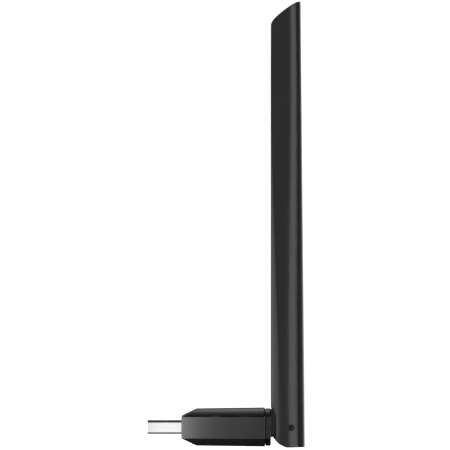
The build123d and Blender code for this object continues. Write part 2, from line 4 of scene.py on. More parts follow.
import bpy
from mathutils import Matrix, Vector


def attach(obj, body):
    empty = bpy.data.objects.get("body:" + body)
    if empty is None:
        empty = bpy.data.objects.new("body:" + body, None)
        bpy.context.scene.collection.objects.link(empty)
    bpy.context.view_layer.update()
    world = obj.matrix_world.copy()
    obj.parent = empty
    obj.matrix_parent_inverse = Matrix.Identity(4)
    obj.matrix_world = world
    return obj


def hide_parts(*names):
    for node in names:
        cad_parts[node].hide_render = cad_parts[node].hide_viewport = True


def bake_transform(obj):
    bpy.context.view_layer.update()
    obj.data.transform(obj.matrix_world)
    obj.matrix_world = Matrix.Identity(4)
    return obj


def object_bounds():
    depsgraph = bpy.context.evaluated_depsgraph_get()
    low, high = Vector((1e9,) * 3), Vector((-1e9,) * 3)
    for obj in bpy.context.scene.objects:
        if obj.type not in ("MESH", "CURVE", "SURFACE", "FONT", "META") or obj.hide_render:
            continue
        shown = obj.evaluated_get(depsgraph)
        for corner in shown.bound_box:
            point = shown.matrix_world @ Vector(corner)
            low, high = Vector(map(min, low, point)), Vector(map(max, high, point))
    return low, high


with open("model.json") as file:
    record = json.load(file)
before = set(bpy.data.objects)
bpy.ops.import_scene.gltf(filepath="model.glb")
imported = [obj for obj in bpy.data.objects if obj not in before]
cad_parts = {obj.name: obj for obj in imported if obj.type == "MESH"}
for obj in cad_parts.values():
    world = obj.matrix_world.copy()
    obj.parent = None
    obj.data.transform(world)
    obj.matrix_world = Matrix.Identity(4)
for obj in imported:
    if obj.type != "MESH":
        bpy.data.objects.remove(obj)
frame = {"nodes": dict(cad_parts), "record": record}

CAD_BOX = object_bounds()

bl_info = {
    "name": "Antenna Adapter Finisher",
    "version": (1, 0, 0),
    "blender": (4, 5, 0),
    "location": "View3D > Sidebar > Adapter",
    "description": "Finishes the moulded shells, plug, board, hinge and antenna of a USB wireless adapter",
    "category": "Object",
}

MM = 0.001
NODES = frame["nodes"]


# ---------------------------------------------------------------- colours and nodes
def srgb(text):
    """A hex colour as linear red, green, blue and alpha."""
    values = [int(text[i:i + 2], 16) / 255 for i in (1, 3, 5)]
    return [v / 12.92 if v <= 0.04045 else ((v + 0.055) / 1.055) ** 2.4 for v in values] + [1.0]


def add_node(tree, kind, inputs=None, **settings):
    """Adds one node, sets its own settings, and fills or links its inputs by name or by number."""
    node = tree.nodes.new(kind)
    for key, value in settings.items():
        setattr(node, key, value)
    for key, value in (inputs or {}).items():
        if isinstance(value, bpy.types.NodeSocket):
            tree.links.new(value, node.inputs[key])
        else:
            node.inputs[key].default_value = value
    return node


def new_material(name):
    """An empty material, with its tree, its output and its Object coordinates in metres."""
    material = bpy.data.materials.new(name)
    material.use_nodes = True
    tree = material.node_tree
    tree.nodes.clear()
    place = add_node(tree, "ShaderNodeTexCoord").outputs["Object"]
    return material, tree, place


# Nearly all of a noise's values lie between these.
NOISE_SPAN = (0.3, 0.7)


def close_material(tree, tint, gloss, height, look):
    """Ends a material. Tint sweeps its two colours, gloss its roughness, and height raises real relief."""
    first, last = look.get("span", NOISE_SPAN)
    swept = [
        add_node(tree, "ShaderNodeMapRange", {
            "Value": factor, "From Min": first, "From Max": last, "To Min": low, "To Max": high,
        }).outputs["Result"]
        for factor, (low, high) in ((tint, (0.0, 1.0)), (gloss, look["roughness"]))
    ]
    dark, light = look["colours"]
    colour = add_node(tree, "ShaderNodeMix", {0: swept[0], 6: dark, 7: light}, data_type="RGBA").outputs[2]
    bump = add_node(tree, "ShaderNodeBump", {
        "Height": height, "Distance": look["depth"], "Strength": look.get("strength", 0.5),
    }).outputs["Normal"]
    shader = add_node(tree, "ShaderNodeBsdfPrincipled", {
        "Base Color": colour, "Roughness": swept[1], "Normal": bump, **look.get("shader", {}),
    })
    add_node(tree, "ShaderNodeOutputMaterial", {"Surface": shader.outputs[0]})


# ---------------------------------------------------------------- materials
# The housing's cloudy patches are this many grains wide.
CLOUD_GRAINS = 60
# A wave texture of scale 1 repeats every so many units.
WAVE_PERIOD = 0.314


def spark_textured_abs(look):
    """Moulded ABS from a spark-eroded tool: a fine even grain that spreads every highlight."""
    material, tree, place = new_material("spark_textured_abs")
    grain = add_node(tree, "ShaderNodeTexNoise", {
        "Vector": place, "Scale": 1.0 / look.grain, "Detail": 2.0, "Roughness": 0.6,
    }).outputs["Fac"]
    cloud = add_node(tree, "ShaderNodeTexNoise", {
        "Vector": place, "Scale": 1.0 / (look.grain * CLOUD_GRAINS), "Detail": 3.0,
    }).outputs["Fac"]
    close_material(tree, cloud, cloud, grain, {
        "colours": (look.colour, look.colour_high),
        "roughness": (look.roughness - 0.02, look.roughness + 0.03),
        "depth": look.grain_depth,
        "shader": {"IOR": 1.53},
    })
    return material


def bright_nickel_plate(look):
    """Bright nickel on folded steel sheet: a near mirror, softened by faint rolling lines along the strip."""
    material, tree, place = new_material("bright_nickel_plate")
    along = add_node(
        tree, "ShaderNodeMapping", {"Vector": place, "Scale": (0.03, 1.0, 1.0)}
    ).outputs["Vector"]
    lines = add_node(tree, "ShaderNodeTexNoise", {"Vector": along, "Scale": 1.0 / (0.3 * MM)}).outputs["Fac"]
    haze = add_node(tree, "ShaderNodeTexNoise", {"Vector": place, "Scale": 1.0 / (9 * MM)}).outputs["Fac"]
    close_material(tree, haze, lines, lines, {
        "colours": (look.colour, srgb("#f0f0f0")),
        "roughness": (look.roughness - 0.02, look.roughness + 0.03),
        "depth": 0.0008 * MM, "strength": 0.4,
        "shader": {"Metallic": 1.0},
    })
    return material


def green_solder_mask(weave):
    """Green solder mask over woven glass laminate: the weave shows through as a faint grid."""
    material, tree, place = new_material("green_solder_mask")
    waves = [
        add_node(
            tree, "ShaderNodeTexWave", {"Vector": place, "Scale": WAVE_PERIOD / weave, "Distortion": 0.6},
            bands_direction=turn,
        ).outputs["Fac"]
        for turn in ("X", "Y")
    ]
    cloth = add_node(tree, "ShaderNodeMath", {0: waves[0], 1: waves[1]}, operation="MULTIPLY").outputs[0]
    close_material(tree, cloth, cloth, cloth, {
        "span": (0.0, 1.0),
        "colours": (srgb("#0c3a22"), srgb("#14502f")),
        "roughness": (0.28, 0.36),
        "depth": 0.01 * MM, "strength": 0.4,
        "shader": {"IOR": 1.5},
    })
    return material


def marked(name, pattern, look):
    """A finish with one set of fine marks, which its colour, its gloss and its relief all follow."""
    material, tree, place = new_material(name)
    marks = add_node(tree, "ShaderNodeTexNoise", {"Vector": place, **pattern}).outputs["Fac"]
    close_material(tree, marks, marks, marks, look)
    return material


def metal(name, light, dark, roughness, grain, depth):
    """A plain metal with fine scattered rolling or casting marks. Grain and depth are in millimetres."""
    return marked(name, {"Scale": 1.0 / (grain * MM), "Detail": 4.0, "Roughness": 0.6}, {
        "colours": (srgb(dark), srgb(light)), "roughness": (roughness - 0.06, roughness + 0.08),
        "depth": depth * MM, "shader": {"Metallic": 1.0},
    })


def plastic(name, light, dark, roughness, grain, depth, ior=1.5):
    """A moulded or cast plastic whose colour and gloss wander over its grain. Sizes in millimetres."""
    return marked(name, {"Scale": 1.0 / (grain * MM), "Detail": 3.0, "Roughness": 0.55}, {
        "colours": (srgb(dark), srgb(light)), "roughness": (roughness - 0.05, roughness + 0.06),
        "depth": depth * MM, "shader": {"IOR": ior},
    })


FINISHES = {}


def make_materials(shell, plate):
    """Fills FINISHES with every finish on the object, by the record's slot name."""
    FINISHES.update({
        "housing_plastic": spark_textured_abs(shell),
        "plug_steel": bright_nickel_plate(plate),
        # Unfilled PBT from a smooth tool: satin, a shade paler than the housing.
        "carrier_plastic": plastic("moulded_pbt_black", "#1c1c1d", "#141415", 0.42, 0.3, 0.006),
        # Thin gold over bronze strip: a warm sharp gleam.
        "contact_gold": metal("flash_gold_on_bronze", "#f0c873", "#dcae58", 0.2, 0.4, 0.002),
        # Rolled strip left bare: cool grey with a soft sheen.
        "spring_steel": metal("rolled_spring_steel", "#a3a5a8", "#8b8d90", 0.28, 0.3, 0.003),
        # Phosphate over turned steel: nearly black, with only a dull glint.
        "pin_steel": metal("phosphated_steel", "#4a4a4c", "#38383a", 0.42, 0.2, 0.004),
        "board_laminate": green_solder_mask(0.6 * MM),
        # Tinned sheet: pale, with a slightly cloudy shine.
        "shield_tin": metal("tinned_steel_sheet", "#c9c9c4", "#b2b2ad", 0.3, 0.9, 0.003),
        # Epoxy full of silica: flat dark grey, with no clear highlight.
        "chip_epoxy": plastic("moulded_epoxy", "#1f1f21", "#161617", 0.55, 0.12, 0.006),
        # Drawn nickel can: bright and a little warm.
        "crystal_can": metal("nickel_can", "#cfccc4", "#b9b6ae", 0.24, 0.4, 0.002),
        # Fired dielectric ceramic: matt tan.
        "ceramic_body": plastic("fired_ceramic", "#8d6b4c", "#765840", 0.45, 0.2, 0.004, 1.6),
        # Cast clear epoxy: glossy and slightly yellow.
        "led_lens": plastic("clear_led_epoxy", "#e9ecdf", "#d8dccb", 0.2, 0.4, 0.003, 1.54),
        # Clear moulded polycarbonate: glassy, with a faint smoke tint and flow ripple.
        "light_guide": marked("clear_polycarbonate", {"Scale": 1.0 / (0.8 * MM)}, {
            "colours": (srgb("#b9bfc4"), srgb("#d4d9dc")), "roughness": (0.12, 0.2),
            "depth": 0.01 * MM, "strength": 0.3, "shader": {"IOR": 1.586, "Transmission Weight": 0.55},
        }),
        # Etched foil: warm copper, dulled a little by the etch.
        "copper_foil": metal("etched_copper_foil", "#c98557", "#b06f45", 0.35, 0.5, 0.003),
        # Cut closed-cell foam: a matt pebbled skin with no shine.
        "foam": plastic("closed_cell_foam", "#2b2b2d", "#1c1c1e", 0.9, 0.5, 0.12),
        # Extruded fluoropolymer: smooth and slightly waxy.
        "coax_jacket": plastic("fep_jacket_grey", "#2a2a2c", "#202022", 0.3, 0.6, 0.005, 1.34),
        # Drawn tube: yellow metal with a soft gleam.
        "sleeve_brass": metal("drawn_brass", "#d9b062", "#c2984e", 0.3, 0.4, 0.003),
    })


# ---------------------------------------------------------------- geometry trees
def new_tree(name, sockets):
    """A geometry tree with named inputs. Returns the tree and its inputs' sockets by name."""
    tree = bpy.data.node_groups.new(name, "GeometryNodeTree")
    for label, kind, default in sockets:
        socket = tree.interface.new_socket(label, in_out="INPUT", socket_type=kind)
        socket.default_value = default
    tree.interface.new_socket("Geometry", in_out="OUTPUT", socket_type="NodeSocketGeometry")
    entry = add_node(tree, "NodeGroupInput")
    return tree, {label: entry.outputs[label] for label, kind, default in sockets}


def close_tree(tree, shapes, material):
    """Ends a tree: joins its shapes, makes them real geometry and gives them their material."""
    joined = add_node(tree, "GeometryNodeJoinGeometry")
    for shape in shapes:
        tree.links.new(shape, joined.inputs[0])
    real = add_node(tree, "GeometryNodeRealizeInstances", {"Geometry": joined.outputs[0]}).outputs[0]
    painted = add_node(tree, "GeometryNodeSetMaterial", {"Geometry": real, "Material": material}).outputs[0]
    add_node(tree, "NodeGroupOutput", {"Geometry": painted})


def grow(name, tree, values):
    """Runs a geometry tree once and returns its result as a plain mesh piece."""
    piece = bpy.data.objects.new(name, bpy.data.meshes.new(name))
    bpy.context.scene.collection.objects.link(piece)
    modifier = piece.modifiers.new("grow", "NODES")
    modifier.node_group = tree
    for item in tree.interface.items_tree:
        if item.in_out == "INPUT" and item.name in values:
            modifier[item.identifier] = values[item.name]
    result = piece.evaluated_get(bpy.context.evaluated_depsgraph_get())
    mesh = bpy.data.meshes.new_from_object(result)
    piece.modifiers.clear()
    piece.data = mesh
    if not mesh.polygons:
        raise RuntimeError(f"{name} came out empty")
    return piece


def through_points(tree, corners, radius):
    """A path through corner points, rounded at each corner."""
    line = add_node(tree, "GeometryNodeMeshLine", {"Count": len(corners)}).outputs["Mesh"]
    index = add_node(tree, "GeometryNodeInputIndex").outputs[0]
    chosen = add_node(tree, "GeometryNodeIndexSwitch", data_type="VECTOR")
    while len(chosen.index_switch_items) < len(corners):
        chosen.index_switch_items.new()
    tree.links.new(index, chosen.inputs["Index"])
    for number, corner in enumerate(corners):
        if isinstance(corner, bpy.types.NodeSocket):
            tree.links.new(corner, chosen.inputs[number + 1])
        else:
            chosen.inputs[number + 1].default_value = corner
    placed = add_node(
        tree, "GeometryNodeSetPosition", {"Geometry": line, "Position": chosen.outputs[0]}
    ).outputs[0]
    path = add_node(tree, "GeometryNodeMeshToCurve", {"Mesh": placed}).outputs[0]
    return add_node(
        tree, "GeometryNodeFilletCurve", {"Curve": path, "Radius": radius, "Count": 10}, mode="POLY"
    ).outputs[0]

def swept_strip(tree, path, width, height, corner):
    """A closed strip: a rounded rectangle carried along a path and capped at both ends."""
    outline = add_node(
        tree, "GeometryNodeCurvePrimitiveQuadrilateral", {"Width": width, "Height": height}
    ).outputs["Curve"]
    profile = add_node(
        tree, "GeometryNodeFilletCurve", {"Curve": outline, "Radius": corner, "Count": 3}, mode="POLY"
    ).outputs[0]
    return add_node(
        tree, "GeometryNodeCurveToMesh", {"Curve": path, "Profile Curve": profile, "Fill Caps": True}
    ).outputs[0]


def scatter_row(tree, shape, start, step, count):
    """Copies of a shape in a row."""
    row = add_node(
        tree, "GeometryNodeMeshLine", {"Count": count, "Start Location": start, "Offset": step}
    ).outputs["Mesh"]
    return add_node(tree, "GeometryNodeInstanceOnPoints", {"Points": row, "Instance": shape}).outputs[0]


def lead_tree(name, material, corners, bend):
    """A round lead through corner points, rounded at each one."""
    tree, given = new_tree(name, [("Radius", "NodeSocketFloat", 0.5 * MM)])
    path = through_points(tree, corners, bend)
    path = add_node(
        tree, "GeometryNodeResampleCurve", {"Curve": path, "Length": 0.2 * MM}, mode="LENGTH"
    ).outputs[0]
    ring = add_node(
        tree, "GeometryNodeCurvePrimitiveCircle", {"Resolution": 24, "Radius": given["Radius"]}
    ).outputs["Curve"]
    lead = add_node(
        tree, "GeometryNodeCurveToMesh", {"Curve": path, "Profile Curve": ring, "Fill Caps": True}
    ).outputs[0]
    close_tree(tree, [lead], material)
    return tree


CONTACT_BEND = 0.22 * MM
CONTACT_EDGE = 0.04 * MM


def contact_tree(name, material, settings):
    """Two sprung blades, one each side of the middle, each turned down into a solder tail."""
    tree, given = new_tree(name, [
        ("Start", "NodeSocketFloat", -11 * MM),
        ("Offset", "NodeSocketFloat", 1 * MM),
        ("Width", "NodeSocketFloat", 1 * MM),
        ("Thickness", "NodeSocketFloat", 0.2 * MM),
    ])
    level, heel, foot = settings.contact_height, settings.contact_heel, settings.contact_foot
    tip = add_node(tree, "ShaderNodeCombineXYZ", {"X": given["Start"], "Z": level}).outputs[0]
    path = through_points(tree, [tip, (heel, 0.0, level), (heel, 0.0, foot)], CONTACT_BEND)
    blade = swept_strip(tree, path, given["Width"], given["Thickness"], CONTACT_EDGE)
    start = add_node(tree, "ShaderNodeCombineXYZ", {"Y": given["Offset"]}).outputs[0]
    across = add_node(tree, "ShaderNodeVectorMath", {0: start, "Scale": -2.0}, operation="SCALE").outputs[0]
    close_tree(tree, [scatter_row(tree, blade, start, across, 2)], material)
    return tree


CHIP_EDGE = 0.06 * MM


def chip_row_tree(name, material, rows):
    """Rows of small chip parts: each one a rounded block, or a pair of end caps when Spread isn't nil."""
    tree, given = new_tree(name, [
        ("Length", "NodeSocketFloat", 1 * MM),
        ("Width", "NodeSocketFloat", 0.5 * MM),
        ("Height", "NodeSocketFloat", 0.4 * MM),
        ("Spread", "NodeSocketFloat", 0.0),
        ("Per Part", "NodeSocketInt", 1),
    ])
    length, spread = [
        add_node(tree, "ShaderNodeCombineXYZ", {"X": given[label]}).outputs[0]
        for label in ("Length", "Spread")
    ]
    front, back, first = [
        add_node(tree, "ShaderNodeVectorMath", {0: whole, "Scale": share}, operation="SCALE").outputs[0]
        for whole, share in ((length, 0.5), (length, -0.5), (spread, -0.5))
    ]
    path = add_node(tree, "GeometryNodeCurvePrimitiveLine", {"Start": back, "End": front}).outputs[0]
    block = swept_strip(tree, path, given["Width"], given["Height"], CHIP_EDGE)
    part = scatter_row(tree, block, first, spread, given["Per Part"])
    close_tree(tree, [scatter_row(tree, part, start, step, count) for start, step, count in rows], material)
    return tree


COPPER_EDGE = 0.01 * MM
TRACK_BEND = 0.3 * MM
ARM_OFFSET = 3.3 * MM
# Straight strips of copper: bottom, top, distance from the middle, and width, or None for the arms' own.
COPPER_STRIPS = (
    (19.0 * MM, 41.0 * MM, 0.0, 1.2 * MM),
    (42.0 * MM, 66.0 * MM, 0.0, 1.0 * MM),
    (20.0 * MM, 40.0 * MM, ARM_OFFSET, None),
    (44.0 * MM, 64.0 * MM, ARM_OFFSET, None),
    (84.0 * MM, 112.0 * MM, ARM_OFFSET, None),
)


def copper_tree(name, material, settings):
    """The radiator's copper: a zigzag phasing line, the two feed strips and three pairs of arms."""
    tree, given = new_tree(name, [
        ("Track", "NodeSocketFloat", 0.8 * MM),
        ("Arm Width", "NodeSocketFloat", 2.2 * MM),
        ("Thickness", "NodeSocketFloat", 0.05 * MM),
    ])
    x, thickness = settings.copper_x, given["Thickness"]
    turns, rise, half, start = 6, 2.4 * MM, 1.6 * MM, 66.9 * MM
    corners = [(x, -half, start)]
    for turn in range(turns):
        side = half if turn % 2 == 0 else -half
        corners += [(x, side, start + rise * turn), (x, side, start + rise * (turn + 1))]
    corners.append((x, half, start + rise * turns))
    zigzag = through_points(tree, corners, TRACK_BEND)
    pieces = [swept_strip(tree, zigzag, thickness, given["Track"], COPPER_EDGE)]
    for low, high, offset, width in COPPER_STRIPS:
        line = add_node(tree, "GeometryNodeCurvePrimitiveLine", {
            "Start": (x, -offset, low), "End": (x, -offset, high),
        }).outputs[0]
        strip = swept_strip(tree, line, thickness, width or given["Arm Width"], COPPER_EDGE)
        copies = 2 if offset else 1
        pieces.append(scatter_row(tree, strip, (0.0, 0.0, 0.0), (0.0, 2 * offset, 0.0), copies))
    close_tree(tree, pieces, material)
    return tree


# The foam's pores are about 0.55 mm across, and each seed reads them from further into the noise.
PORE_SCALE = 1800.0
SEED_STEP = 0.37


def foam_tree(name, material, row):
    """A row of cut foam pads whose free faces swell a little between their edges."""
    tree, given = new_tree(name, [
        ("Size", "NodeSocketVector", (2.7 * MM, 6.2 * MM, 7.8 * MM)),
        ("Swell", "NodeSocketFloat", 0.1 * MM),
        ("Seed", "NodeSocketInt", 3),
    ])
    block = add_node(tree, "GeometryNodeMeshCube", {
        "Size": given["Size"], "Vertices X": 10, "Vertices Y": 22, "Vertices Z": 26,
    }).outputs["Mesh"]
    place = add_node(tree, "GeometryNodeInputPosition").outputs[0]
    unit = add_node(
        tree, "ShaderNodeVectorMath", {0: place, 1: given["Size"]}, operation="DIVIDE"
    ).outputs[0]
    seeded = add_node(
        tree, "ShaderNodeMath", {0: given["Seed"], 1: SEED_STEP}, operation="MULTIPLY"
    ).outputs[0]
    pores = add_node(
        tree, "ShaderNodeTexNoise", {"Vector": place, "W": seeded, "Scale": PORE_SCALE, "Detail": 2.0},
        noise_dimensions="4D",
    ).outputs["Fac"]
    amount = add_node(tree, "ShaderNodeMapRange", {
        "Value": pores, "From Min": NOISE_SPAN[0], "From Max": NOISE_SPAN[1], "To Min": 0.2, "To Max": 1.0,
    }).outputs["Result"]
    push = add_node(tree, "ShaderNodeMath", {0: amount, 1: given["Swell"]}, operation="MULTIPLY").outputs[0]
    offset = add_node(tree, "ShaderNodeVectorMath", {0: unit, "Scale": push}, operation="SCALE").outputs[0]
    swollen = add_node(tree, "GeometryNodeSetPosition", {"Geometry": block, "Offset": offset}).outputs[0]
    close_tree(tree, [scatter_row(tree, swollen, *row)], material)
    return tree


# ---------------------------------------------------------------- settings
class AdapterShellSettings(bpy.types.PropertyGroup):
    colour: bpy.props.FloatVectorProperty(
        name="Colour", description="Colour of the moulded plastic", size=4, subtype="COLOR",
        min=0.0, max=1.0, default=srgb("#121213"),
    )
    colour_high: bpy.props.FloatVectorProperty(
        name="Paler Colour", description="Colour of the plastic's slightly paler patches", size=4,
        subtype="COLOR", min=0.0, max=1.0, default=srgb("#161617"),
    )
    grain: bpy.props.FloatProperty(
        name="Grain", default=0.00028, unit="LENGTH",
        description="Size of the moulded texture's grain, coarser than the real 0.1 mm so it shows",
    )
    grain_depth: bpy.props.FloatProperty(
        name="Grain Depth", description="Depth of the moulded texture", default=0.000012, unit="LENGTH",
    )
    roughness: bpy.props.FloatProperty(
        name="Roughness", description="Roughness of the plastic between its grains",
        default=0.30, subtype="FACTOR", min=0.05, max=1.0,
    )


class AdapterPlugSettings(bpy.types.PropertyGroup):
    colour: bpy.props.FloatVectorProperty(
        name="Plate Colour", description="Colour of the nickel plate", size=4, subtype="COLOR",
        min=0.0, max=1.0, default=srgb("#ececec"),
    )
    roughness: bpy.props.FloatProperty(
        name="Plate Roughness", description="Roughness of the nickel plate",
        default=0.14, subtype="FACTOR", min=0.02, max=1.0,
    )


class AdapterContactSettings(bpy.types.PropertyGroup):
    contact_width: bpy.props.FloatProperty(
        name="Contact Width", description="Width of each contact blade", default=0.0010, unit="LENGTH",
    )
    contact_height: bpy.props.FloatProperty(
        name="Contact Height", description="Height of the blades' middle", default=-0.00018, unit="LENGTH",
    )
    contact_heel: bpy.props.FloatProperty(
        name="Contact Heel", description="Where the blades turn down", default=0.00710, unit="LENGTH",
    )
    contact_foot: bpy.props.FloatProperty(
        name="Contact Foot", description="Height of the solder tails' ends", default=-0.00233, unit="LENGTH",
    )
    power_start: bpy.props.FloatProperty(
        name="Power Start", description="Where the two longer outer blades begin", default=-0.011,
        unit="LENGTH",
    )
    data_start: bpy.props.FloatProperty(
        name="Data Start", description="Where the two shorter inner blades begin", default=-0.010,
        unit="LENGTH",
    )


class AdapterBoardSettings(bpy.types.PropertyGroup):
    part_length: bpy.props.FloatProperty(
        name="Part Length", description="Length of the chip resistors and capacitors", default=0.001,
        unit="LENGTH",
    )
    part_pitch: bpy.props.FloatProperty(
        name="Part Pitch", description="Spacing of the chip parts in a row", default=0.0009, unit="LENGTH",
    )
    cap_length: bpy.props.FloatProperty(
        name="Cap Length", description="Length of each plated end cap", default=0.00022, unit="LENGTH",
    )


class AdapterLeadSettings(bpy.types.PropertyGroup):
    lead_radius: bpy.props.FloatProperty(
        name="Lead Radius", description="Radius of the coaxial lead", default=0.000565, unit="LENGTH",
    )


class AdapterRadiatorSettings(bpy.types.PropertyGroup):
    copper_x: bpy.props.FloatProperty(
        name="Copper Position", description="Middle of the copper, in front of the board", default=0.036775,
        unit="LENGTH",
    )
    track_width: bpy.props.FloatProperty(
        name="Track Width", description="Width of the zigzag track", default=0.0008, unit="LENGTH",
    )
    arm_width: bpy.props.FloatProperty(
        name="Arm Width", description="Width of the radiating arms", default=0.0022, unit="LENGTH",
    )
    pad_swell: bpy.props.FloatProperty(
        name="Pad Swell", description="How far the foam pads' faces swell", default=0.00012, unit="LENGTH",
    )


class AdapterStageSettings(bpy.types.PropertyGroup):
    floor_drop: bpy.props.FloatProperty(
        name="Floor Drop", description="How far the floor lies below the adapter's lowest point",
        default=0.045, unit="LENGTH",
    )
    camera_distance: bpy.props.FloatProperty(
        name="Camera Distance", description="Distance from the camera to the adapter", default=2.0,
        unit="LENGTH",
    )
    frame_width: bpy.props.FloatProperty(
        name="Frame Width", description="Width that the camera sees at the adapter", default=0.1579,
        unit="LENGTH",
    )


# ---------------------------------------------------------------- pieces
SHARP_ANGLE = math.radians(35)


def assign():
    """Gives every CAD node the finish of its record slot."""
    slots = {part["node"]: part["material_slot"] for part in frame["record"]["subparts"]}
    for name, node in NODES.items():
        node.data.materials.clear()
        node.data.materials.append(FINISHES[slots[name]])


def keep(piece, body, slot, node):
    """Puts a finished piece in place of a CAD node, on its body and under its record slot."""
    if body is not None:
        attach(piece, body)
    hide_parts(node)
    piece.data.materials.clear()
    piece.data.materials.append(FINISHES[slot])
    piece.data.polygons.foreach_set("material_index", [0] * len(piece.data.polygons))
    for face in piece.data.polygons:
        face.use_smooth = True
    piece.data.set_sharp_from_angle(angle=SHARP_ANGLE)


# ---------------------------------------------------------------- operators
# Distances of the plug's outer and inner blades from its middle, by the USB standard's 2.5 and 2 mm pitches
POWER_OFFSET, DATA_OFFSET = 3.5 * MM, 1.0 * MM
# Height of the middles of the chip parts, which stand on the board
CHIP_LEVEL = -2.15 * MM
# The hinge pin, and the radius of the lead's bend round it
PIN_X, LEAD_BEND = 38.45 * MM, 3.25 * MM
# The lead's line beside the radiator board, and its height where it leaves the dongle's board
LEAD_RUN_X, LEAD_LEVEL = 35.73 * MM, -1.3 * MM
# The lead's runs: piece, body, CAD node, radius at its corners, and its corners
LEAD_RUNS = (
    ("lead_in_dongle", "dongle", "coax_in_dongle", 3.6 * MM, (
        (20.8 * MM, 0.0, LEAD_LEVEL), (22.3 * MM, 0.0, LEAD_LEVEL),
        (24.4 * MM, 0.0, 0.0), (26.5 * MM, 0.0, 0.0),
    )),
    ("lead_in_knuckle", "swivel", "coax_in_knuckle", 1.0 * MM, (
        (26.52 * MM, 0.0, 0.0), (30.0 * MM, 0.0, 0.0), (PIN_X - LEAD_BEND, 0.0, 0.0),
    )),
    ("lead_in_antenna", "antenna", "coax_in_antenna", 6.0 * MM, (
        (PIN_X, 0.0, LEAD_BEND + 0.02 * MM), (PIN_X, 0.0, 11.0 * MM),
        (LEAD_RUN_X, 0.0, 16.0 * MM), (LEAD_RUN_X, 0.0, 30.0 * MM),
    )),
    ("lead_at_hinge", None, "coax_bend", LEAD_BEND, (
        (PIN_X - LEAD_BEND, 0.0, 0.0), (PIN_X, 0.0, 0.0), (PIN_X, 0.0, LEAD_BEND),
    )),
)
# The row of foam pads: the first one's middle, the step to the next, and how many
FOAM_ROW = ((39.05 * MM, 0.0, 32.0 * MM), (0.0, 0.0, 38.0 * MM), 3)


class ADAPTER_OT_shells(bpy.types.Operator):
    """Finish the moulded shells, the swivel knuckle and the light pipe"""

    bl_idname = "adapter.shells"
    bl_label = "Finish Shells"

    def execute(self, context):
        scene = context.scene
        make_materials(scene.adapter_shell, scene.adapter_plug)
        assign()
        return {"FINISHED"}


class ADAPTER_OT_contacts(bpy.types.Operator):
    """Grow the plug's two power contacts and two data contacts"""

    bl_idname = "adapter.contacts"
    bl_label = "Grow Contacts"

    def execute(self, context):
        settings = context.scene.adapter_contacts
        for name, start, offset in (
            ("power_contacts", settings.power_start, POWER_OFFSET),
            ("data_contacts", settings.data_start, DATA_OFFSET),
        ):
            tree = contact_tree(name, FINISHES["contact_gold"], settings)
            piece = grow(name, tree, {"Start": start, "Offset": offset, "Width": settings.contact_width})
            keep(piece, "dongle", "contact_gold", "plug_contacts")
        return {"FINISHED"}


class ADAPTER_OT_board(bpy.types.Operator):
    """Grow the rows of chip parts and their plated ends on the main board"""

    bl_idname = "adapter.board"
    bl_label = "Populate Board"

    def execute(self, context):
        settings = context.scene.adapter_board
        pitch = settings.part_pitch
        # The first part's middle, the step to the next, and how many
        rows = (
            ((21.6 * MM, -5.2 * MM, CHIP_LEVEL), (0.0, pitch, 0.0), 6),
            ((18.4 * MM, 2.6 * MM, CHIP_LEVEL), (0.0, pitch, 0.0), 4),
            ((13.0 * MM, 5.3 * MM, CHIP_LEVEL), (1.5 * pitch, 0.0, 0.0), 3),
        )
        # Each body reaches a little way into both of its end caps.
        core = settings.part_length - 1.6 * settings.cap_length
        tree = chip_row_tree("chip_bodies", FINISHES["ceramic_body"], rows)
        bodies = grow("chip_bodies", tree, {"Length": core, "Width": 0.46 * MM, "Height": 0.36 * MM})
        keep(bodies, "dongle", "ceramic_body", "board_passives")
        tree = chip_row_tree("chip_end_caps", FINISHES["shield_tin"], rows)
        caps = grow("chip_end_caps", tree, {
            "Length": settings.cap_length, "Width": 0.5 * MM, "Height": 0.4 * MM,
            "Spread": settings.part_length - settings.cap_length, "Per Part": 2,
        })
        keep(caps, "dongle", "shield_tin", "board_passives")
        return {"FINISHED"}


class ADAPTER_OT_lead(bpy.types.Operator):
    """Grow the coaxial lead: in the dongle, in the knuckle, round the hinge and in the antenna"""

    bl_idname = "adapter.lead"
    bl_label = "Grow Lead"

    def execute(self, context):
        radius = context.scene.adapter_lead.lead_radius
        for name, body, node, rounding, corners in LEAD_RUNS:
            tree = lead_tree(name, FINISHES["coax_jacket"], corners, rounding)
            piece = grow(name, tree, {"Radius": radius})
            keep(piece, body, "coax_jacket", node)
            if body is None:
                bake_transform(piece)
        return {"FINISHED"}


class ADAPTER_OT_radiator(bpy.types.Operator):
    """Grow the copper on the radiator board and the foam pads behind it"""

    bl_idname = "adapter.radiator"
    bl_label = "Grow Radiator"

    def execute(self, context):
        settings = context.scene.adapter_radiator
        tree = copper_tree("radiator_tracks", FINISHES["copper_foil"], settings)
        widths = {"Track": settings.track_width, "Arm Width": settings.arm_width}
        tracks = grow("radiator_tracks", tree, widths)
        keep(tracks, "antenna", "copper_foil", "radiator_copper")
        tree = foam_tree("antenna_foam_pads", FINISHES["foam"], FOAM_ROW)
        pads = grow("antenna_foam_pads", tree, {"Swell": settings.pad_swell})
        keep(pads, "antenna", "foam", "foam_pads")
        return {"FINISHED"}


class ADAPTER_OT_stage(bpy.types.Operator):
    """Build the floor, the soft lights and the camera"""

    bl_idname = "adapter.stage"
    bl_label = "Build Stage"

    def execute(self, context):
        stage = context.scene.adapter_stage
        build_floor(stage)
        build_lights()
        build_camera(stage)
        return {"FINISHED"}


